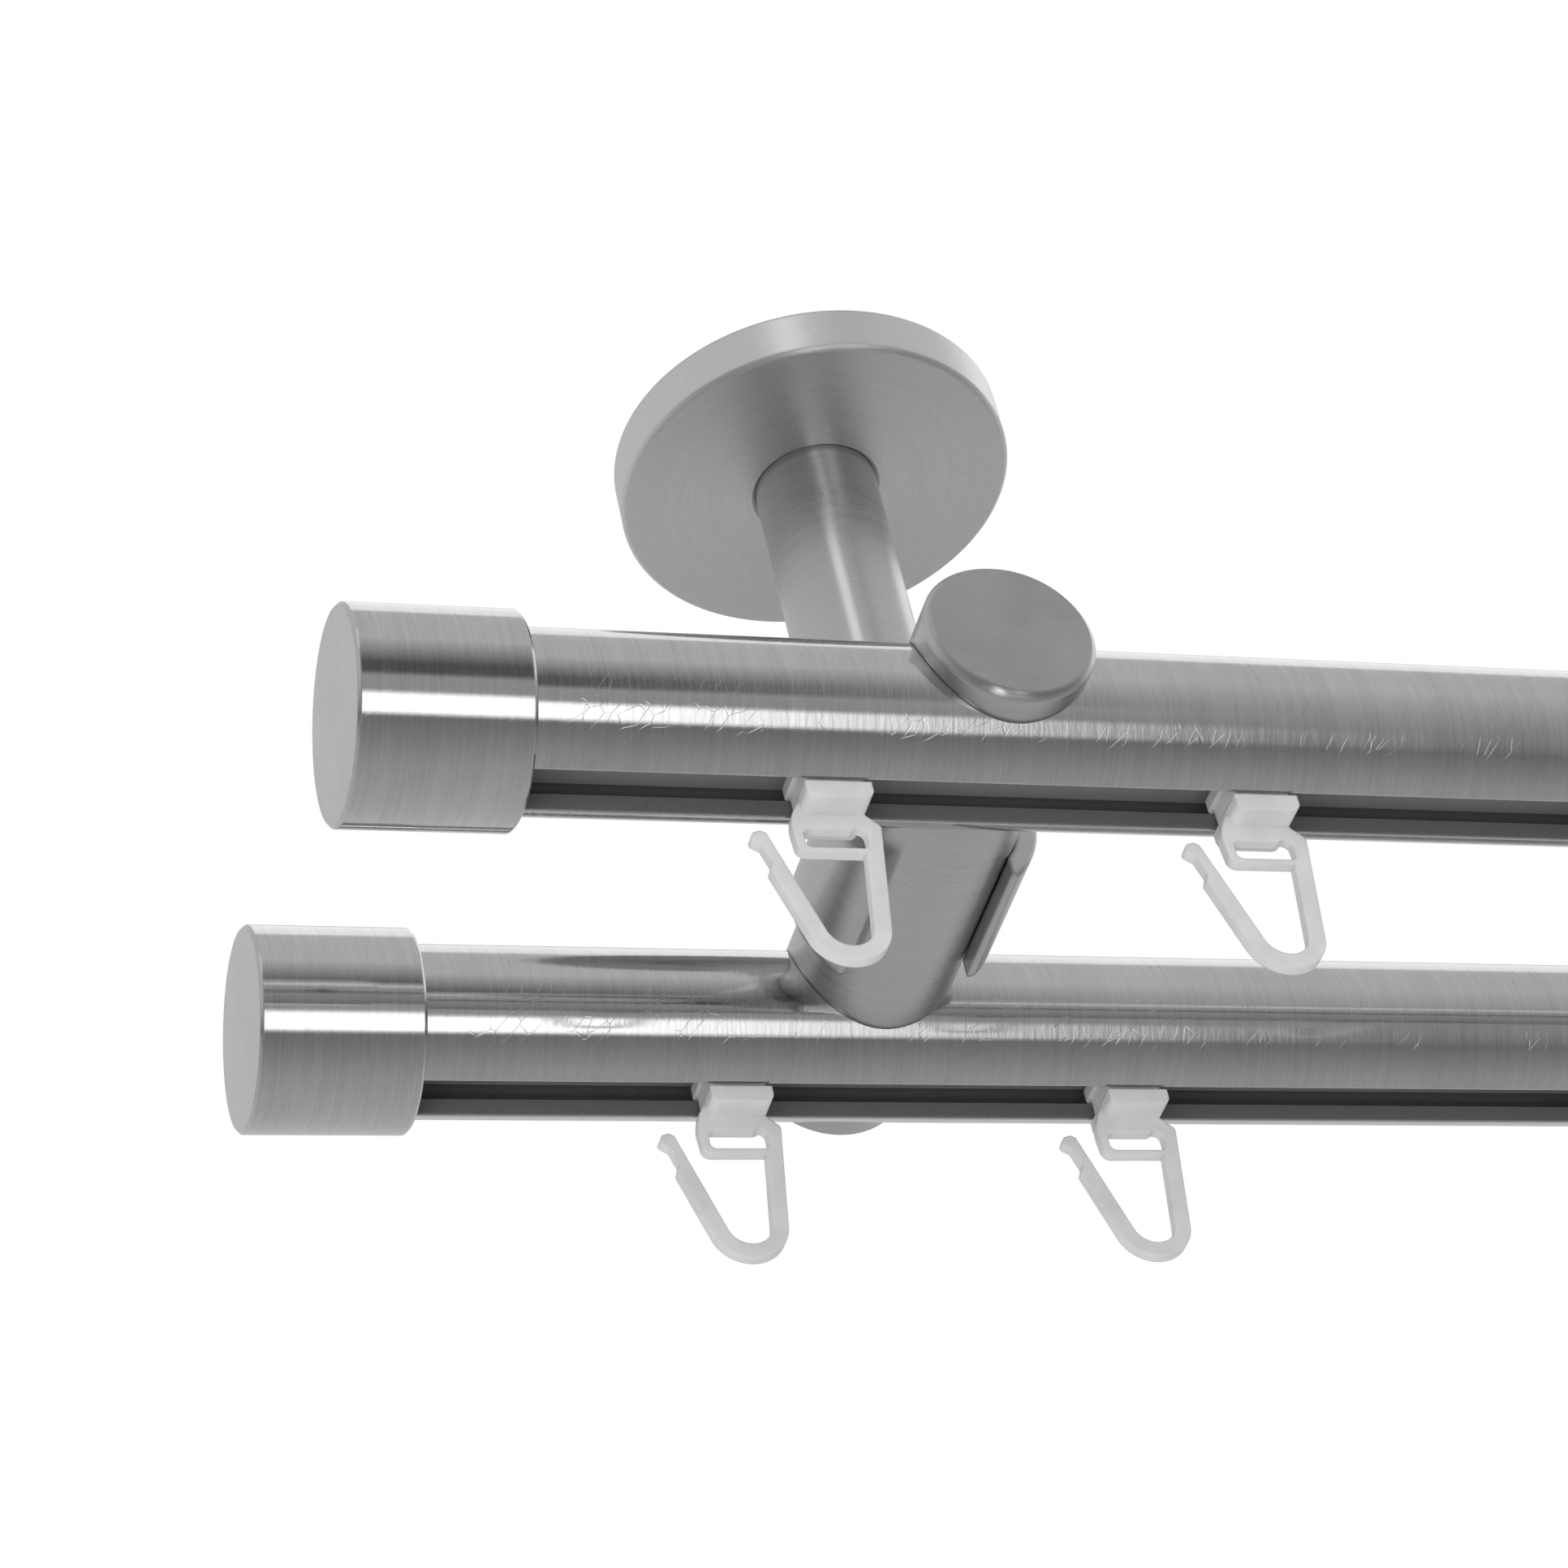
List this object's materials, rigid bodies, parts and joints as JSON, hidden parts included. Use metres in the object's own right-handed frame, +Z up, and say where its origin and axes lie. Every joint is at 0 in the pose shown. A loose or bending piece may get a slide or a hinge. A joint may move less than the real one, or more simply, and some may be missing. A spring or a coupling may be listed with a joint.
{
  "type": "double curtain pole",
  "caption": "Ceiling-mounted double curtain pole with inner tracks, sliding hook gliders and turned end caps, carried by cross arms on stems with round ceiling roses.",
  "frame": {"origin": "centre of the left bracket's ceiling face", "axes": "+X along the poles to the right end, +Y from the front pole to the rear pole, +Z up to the ceiling"},
  "size_m": [0.5014, 0.0784, 0.1022],
  "materials": {
    "pole_metal": "brushed stainless look",
    "turned_steel": "finely turned and brushed",
    "screw_steel": "plain stainless",
    "zinc_steel": "bright zinc plated",
    "glider_plastic": "natural white, slightly translucent"
  },
  "bodies": {
    "pole_set": {"left_ceiling_plate": "zinc_steel", "left_ceiling_rose": "turned_steel", "left_stem": "turned_steel", "left_collar": "turned_steel", "left_cross_arm": "turned_steel", "left_plate_screw": "screw_steel", "left_rose_grub_screw": "screw_steel", "left_stem_stud": "screw_steel", "left_pole_grub_screws": "screw_steel", "right_ceiling_plate": "zinc_steel", "right_ceiling_rose": "turned_steel", "right_stem": "turned_steel", "right_collar": "turned_steel", "right_cross_arm": "turned_steel", "right_plate_screw": "screw_steel", "right_rose_grub_screw": "screw_steel", "right_stem_stud": "screw_steel", "right_pole_grub_screws": "screw_steel", "front_pole": "pole_metal", "front_left_end_cap": "turned_steel", "front_right_end_cap": "turned_steel", "rear_pole": "pole_metal", "rear_left_end_cap": "turned_steel", "rear_right_end_cap": "turned_steel", "cap_grub_screws": "screw_steel"},
    "front_glider_1": {"front_glider_1": "glider_plastic"},
    "front_glider_2": {"front_glider_2": "glider_plastic"},
    "front_glider_3": {"front_glider_3": "glider_plastic"},
    "front_glider_4": {"front_glider_4": "glider_plastic"},
    "front_glider_5": {"front_glider_5": "glider_plastic"},
    "front_glider_6": {"front_glider_6": "glider_plastic"},
    "front_glider_7": {"front_glider_7": "glider_plastic"},
    "front_glider_8": {"front_glider_8": "glider_plastic"},
    "front_glider_9": {"front_glider_9": "glider_plastic"},
    "rear_glider_1": {"rear_glider_1": "glider_plastic"},
    "rear_glider_2": {"rear_glider_2": "glider_plastic"},
    "rear_glider_3": {"rear_glider_3": "glider_plastic"},
    "rear_glider_4": {"rear_glider_4": "glider_plastic"},
    "rear_glider_5": {"rear_glider_5": "glider_plastic"},
    "rear_glider_6": {"rear_glider_6": "glider_plastic"},
    "rear_glider_7": {"rear_glider_7": "glider_plastic"},
    "rear_glider_8": {"rear_glider_8": "glider_plastic"},
    "rear_glider_9": {"rear_glider_9": "glider_plastic"}
  },
  "joints": [
    {"name": "front_glider_1_slide", "type": "slide", "parent": "pole_set", "child": "front_glider_1", "axis": [1, 0, 0], "range_m": [-0.028, 0.0165]},
    {"name": "front_glider_2_slide", "type": "slide", "parent": "pole_set", "child": "front_glider_2", "axis": [1, 0, 0], "range_m": [-0.0165, 0.0165]},
    {"name": "front_glider_3_slide", "type": "slide", "parent": "pole_set", "child": "front_glider_3", "axis": [1, 0, 0], "range_m": [-0.0165, 0.0165]},
    {"name": "front_glider_4_slide", "type": "slide", "parent": "pole_set", "child": "front_glider_4", "axis": [1, 0, 0], "range_m": [-0.0165, 0.0165]},
    {"name": "front_glider_5_slide", "type": "slide", "parent": "pole_set", "child": "front_glider_5", "axis": [1, 0, 0], "range_m": [-0.0165, 0.0165]},
    {"name": "front_glider_6_slide", "type": "slide", "parent": "pole_set", "child": "front_glider_6", "axis": [1, 0, 0], "range_m": [-0.0165, 0.0165]},
    {"name": "front_glider_7_slide", "type": "slide", "parent": "pole_set", "child": "front_glider_7", "axis": [1, 0, 0], "range_m": [-0.0165, 0.0165]},
    {"name": "front_glider_8_slide", "type": "slide", "parent": "pole_set", "child": "front_glider_8", "axis": [1, 0, 0], "range_m": [-0.0165, 0.0165]},
    {"name": "front_glider_9_slide", "type": "slide", "parent": "pole_set", "child": "front_glider_9", "axis": [1, 0, 0], "range_m": [-0.0165, 0.034]},
    {"name": "rear_glider_1_slide", "type": "slide", "parent": "pole_set", "child": "rear_glider_1", "axis": [1, 0, 0], "range_m": [-0.0321, 0.0165]},
    {"name": "rear_glider_2_slide", "type": "slide", "parent": "pole_set", "child": "rear_glider_2", "axis": [1, 0, 0], "range_m": [-0.0165, 0.0257]},
    {"name": "rear_glider_3_slide", "type": "slide", "parent": "pole_set", "child": "rear_glider_3", "axis": [1, 0, 0], "range_m": [-0.0257, 0.015]},
    {"name": "rear_glider_4_slide", "type": "slide", "parent": "pole_set", "child": "rear_glider_4", "axis": [1, 0, 0], "range_m": [-0.015, 0.015]},
    {"name": "rear_glider_5_slide", "type": "slide", "parent": "pole_set", "child": "rear_glider_5", "axis": [1, 0, 0], "range_m": [-0.015, 0.015]},
    {"name": "rear_glider_6_slide", "type": "slide", "parent": "pole_set", "child": "rear_glider_6", "axis": [1, 0, 0], "range_m": [-0.015, 0.015]},
    {"name": "rear_glider_7_slide", "type": "slide", "parent": "pole_set", "child": "rear_glider_7", "axis": [1, 0, 0], "range_m": [-0.015, 0.015]},
    {"name": "rear_glider_8_slide", "type": "slide", "parent": "pole_set", "child": "rear_glider_8", "axis": [1, 0, 0], "range_m": [-0.015, 0.015]},
    {"name": "rear_glider_9_slide", "type": "slide", "parent": "pole_set", "child": "rear_glider_9", "axis": [1, 0, 0], "range_m": [-0.015, 0.0299]}
  ]
}
